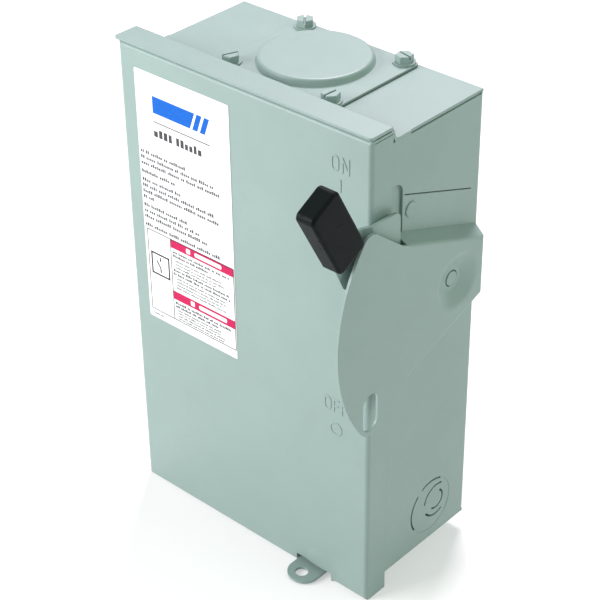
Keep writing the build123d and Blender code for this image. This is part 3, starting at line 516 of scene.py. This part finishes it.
def label_panel(page):
    """Lower panel: thin frame, two red bars, bold and fine rows, and a plain symbol at its left."""
    x0, split_x, x1 = 2.0, 18.7, page.width - 0.6
    z0, z1 = 91.0, 140.1
    line_w = 0.55
    bm = bmesh.new()
    for x in (x0, split_x, x1):
        page.add(bm, stroke((x, z0), (x, z1), line_w))
    for z in (z0, z1):
        page.add(bm, stroke((x0, z), (x1, z), line_w))
    footnote_z, footnote_w, footnote_h = 142.6, 8.0, 1.0
    greeked(bm, page, x0 + 0.5, footnote_z, footnote_w, footnote_h)
    on_label("label_panel_frame", bm, INK_GREY)

    # Each bar: its top and foot, where the square on it starts, and where the strip after it ends.
    bars = ((91.1, 95.9, 30.0, 55.0), (122.2, 127.3, 31.5, 57.5))
    bm = bmesh.new()
    for top, foot, _, _ in bars:
        page.add(bm, rectangle(split_x + 0.3, x1, top, foot))
    on_label("label_panel_bars", bm, INK_RED)

    square, square_r, strip_offset, strip_half, strip_r = 2.9, 0.5, 6.0, 1.25, 0.9
    bm = bmesh.new()
    for top, foot, start, end in bars:
        z = (top + foot) / 2
        page.add(
            bm,
            rectangle(start, start + square, z - square / 2, z + square / 2, square_r),
            on_ink=True,
        )
        page.add(
            bm,
            rectangle(start + strip_offset, end, z - strip_half, z + strip_half, strip_r),
            on_ink=True,
        )
    on_label("label_panel_dashes", bm, INK_WHITE)

    bold_x, bold_w, bold_h = split_x + 1.4, x1 - split_x - 3, 1.5
    bold_rows = (
        (98.0, 0.98),
        (100.3, 0.6),
        (108.9, 0.97),
        (111.2, 0.98),
        (129.3, 0.97),
        (131.4, 0.75),
    )
    fine_x, fine_w, fine_h = split_x + 3.0, x1 - split_x - 5, 1.05
    fine_rows = (103.0, 105.0, 106.9, 113.7, 115.6, 117.5, 119.4, 133.6, 135.3, 137.0, 138.7)
    bold, fine = bmesh.new(), bmesh.new()
    for z, share in bold_rows:
        greeked(bold, page, bold_x, z, bold_w * share, bold_h)
    for z in fine_rows:
        greeked(fine, page, fine_x, z, fine_w * rng.uniform(0.72, 1.0), fine_h)
    on_label("label_panel_bold_rows", bold, INK_BLACK)
    on_label("label_panel_fine_rows", fine, INK_GREY)

    symbol_z = 110.5
    label_symbol(page, (x0 + split_x) / 2, symbol_z)


def label_symbol(page, x, z):
    """Plain switch symbol in a square frame: two terminals and a slanting contact."""
    half, frame_w, line_w = 6.2, 1.0, 0.9
    reach = half + frame_w / 2
    far_end, upper_end, lower_end = 4.6, 2.2, 2.0
    tip_x, tip_z = x - 2.7, z - 2.1
    bm = bmesh.new()
    for side in (-half, half):
        page.add(bm, stroke((x - reach, z + side), (x + reach, z + side), frame_w))
        page.add(bm, stroke((x + side, z - reach), (x + side, z + reach), frame_w))
    page.add(bm, stroke((x, z - far_end), (x, z - upper_end), line_w))
    page.add(bm, stroke((x, z + lower_end), (x, z + far_end), line_w))
    page.add(bm, stroke((x, z + lower_end), (tip_x, tip_z), line_w))
    on_label("label_symbol", bm, INK_BLACK)


label_page = Print("cover_label", -1)
label_head(label_page)
label_paragraphs(label_page)
label_panel(label_page)


# ---------------------------------------------------------------- wiring card inside the cover
def card_diagram(page):
    """Frame, heading row, circuit of a two-pole fused switch beside its ground line, and rows."""
    edge, frame_w, rule_z = 3.0, 0.4, 16.0
    bm = bmesh.new()
    for z in (edge, rule_z, page.height - edge):
        page.add(bm, stroke((edge, z), (page.width - edge, z), frame_w))
    for x in (edge, page.width - edge):
        page.add(bm, stroke((x, edge), (x, page.height - edge), frame_w))
    heading_x, heading_z, heading_w, heading_h = 10.0, 9.5, 60.0, 3.0
    greeked(bm, page, heading_x, heading_z, heading_w, heading_h)

    wire_w, thin_w = 0.7, 0.5
    line_z, contact_z, pivot_z, fuse_top, fuse_foot, load_z = 24.0, 38.0, 52.0, 62.0, 78.0, 92.0
    blade_swing, blade_gap = 6.0, 1.0
    fuse_half, cap_half = 2.6, 2.9
    dot_r, dot_corner_r, dot_steps = 1.6, 1.5, 6
    for share in (0.36, 0.64):
        x = page.width * share
        page.add(bm, stroke((x, line_z), (x, contact_z), wire_w))
        page.add(bm, stroke((x, pivot_z), (x - blade_swing, contact_z + blade_gap), wire_w))
        page.add(bm, stroke((x, pivot_z), (x, fuse_top), wire_w))
        page.add(bm, stroke((x, fuse_foot), (x, load_z), wire_w))
        for side in (x - fuse_half, x + fuse_half):
            page.add(bm, stroke((side, fuse_top), (side, fuse_foot), thin_w))
        for z in (fuse_top, fuse_foot):
            page.add(bm, stroke((x - cap_half, z), (x + cap_half, z), thin_w))
        for z in (line_z, load_z):
            dot = rectangle(x - dot_r, x + dot_r, z - dot_r, z + dot_r, dot_corner_r, dot_steps)
            page.add(bm, dot)
    ground_x = 12.0
    page.add(bm, stroke((ground_x, line_z), (ground_x, load_z), wire_w))

    rows, row_x, first_z, row_step, row_h = 11, 9.0, 102.0, 3.6, 1.6
    for row in range(rows):
        length = (page.width - 2 * row_x) * rng.uniform(0.55, 1.0)
        greeked(bm, page, row_x, first_z + row_step * row, length, row_h)
    piece("card_diagram", bm, INK_BLACK, "cover")


card_diagram(Print("wiring_card", 1))


# ---------------------------------------------------------------- fuse bands
def sleeve(bm, axis, radius, low, high, thick):
    """Closed tube round an upright axis, from radius to radius + thick."""
    segments = 48
    rings = []
    for r, z in ((radius, low), (radius + thick, low), (radius + thick, high), (radius, high)):
        ring = []
        for k in range(segments):
            a = 2 * math.pi * k / segments
            ring.append(bm.verts.new((axis[0] + r * math.cos(a), axis[1] + r * math.sin(a), z)))
        rings.append(ring)
    for i in range(len(rings)):
        for k in range(segments):
            j, m = (i + 1) % len(rings), (k + 1) % segments
            bm.faces.new((rings[i][k], rings[i][m], rings[j][m], rings[j][k]))


def fuse_bands():
    """Paper band round the middle of each fuse, with plain printed lines."""
    low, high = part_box("fuse_barrels")
    barrel_r = (high.y - low.y) / 2
    middle = (low.z + high.z) / 2
    band_half, band_sunk, band_t = 8.5 * MM, 0.02 * MM, 0.12 * MM
    line_lift, line_t = 0.05 * MM, 0.08 * MM
    heights_and_widths = ((5.5, 1.6), (1.5, 0.7), (-0.5, 0.7), (-2.5, 0.7), (-6.0, 1.6))
    band, lines = bmesh.new(), bmesh.new()
    for x in (low.x + barrel_r, high.x - barrel_r):
        axis = (x, (low.y + high.y) / 2)
        sleeve(band, axis, barrel_r - band_sunk, middle - band_half, middle + band_half, band_t)
        for z, width in heights_and_widths:
            foot, top = middle + (z - width / 2) * MM, middle + (z + width / 2) * MM
            sleeve(lines, axis, barrel_r + line_lift, foot, top, line_t)
    piece("fuse_bands", band, label_film(), "enclosure")
    piece("fuse_band_lines", lines, INK_BLUE, "enclosure")


fuse_bands()


# ---------------------------------------------------------------- stage, light, camera
def stage_floor():
    """A floor just under the box, large enough to fill the view."""
    half, gap = 6.0, 0.1 * MM
    level = cad_low.z - gap
    bm = bmesh.new()
    corners = [
        bm.verts.new((box_centre.x + sx * half, box_centre.y + sy * half, level))
        for sx, sy in ((-1, -1), (1, -1), (1, 1), (-1, 1))
    ]
    bm.faces.new(corners)
    mesh_object("studio_floor", bm, pale_floor())


def direction(azimuth, elevation):
    """Unit vector from the box towards a place round it. Azimuth 0 is in front, 90 at the right."""
    a, e = math.radians(azimuth), math.radians(elevation)
    return Vector((math.sin(a) * math.cos(e), -math.cos(a) * math.cos(e), math.sin(e)))


def soft_light(name, azimuth, elevation, distance, size, power, colour):
    """Square soft light aimed at the box: degrees, metres and watts."""
    data = bpy.data.lights.new(name, "AREA")
    data.shape = "SQUARE"
    data.size = size
    data.energy = power
    data.color = colour
    obj = bpy.data.objects.new(name, data)
    towards = direction(azimuth, elevation)
    obj.location = box_centre + towards * distance
    obj.rotation_mode = "QUATERNION"
    obj.rotation_quaternion = towards.to_track_quat("Z", "Y")
    bpy.context.scene.collection.objects.link(obj)


def studio_world():
    """Even pale surroundings."""
    world = bpy.data.worlds.new("studio")
    world.use_nodes = True
    background = world.node_tree.nodes["Background"]
    background.inputs["Color"].default_value = (*WHITE, 1.0)
    background.inputs["Strength"].default_value = 0.38
    bpy.context.scene.world = world


def camera():
    """Camera at the photograph's angle: right of the cover, above it, and slightly rolled."""
    azimuth, elevation, roll = 42.30, 33.41, -0.75
    distance, lens, sensor = 0.8901, 105.0, 36.0
    aim = box_centre + Vector((6.14, 12.78, 7.28)) * MM
    data = bpy.data.cameras.new("camera")
    data.lens = lens
    data.sensor_width = sensor
    obj = bpy.data.objects.new("camera", data)
    back = direction(azimuth, elevation)
    right = Vector((0, 0, 1)).cross(back).normalized()
    up = back.cross(right)
    turned = Matrix.Rotation(math.radians(-roll), 3, -back)
    axes = Matrix((turned @ right, turned @ up, back)).transposed()
    obj.matrix_world = Matrix.Translation(aim + back * distance) @ axes.to_4x4()
    bpy.context.scene.collection.objects.link(obj)
    bpy.context.scene.camera = obj


stage_floor()
studio_world()
soft_light("key_light", -32, 26, 1.05, 0.60, 12.8, WHITE)
soft_light("back_light", -152, 56, 1.30, 0.35, 15.0, (1.10, 1.0, 1.10))
soft_light("side_fill", 112, 32, 1.10, 0.60, 3.8, (0.78, 1.0, 0.82))
camera()
bpy.context.scene.view_settings.view_transform = "Standard"
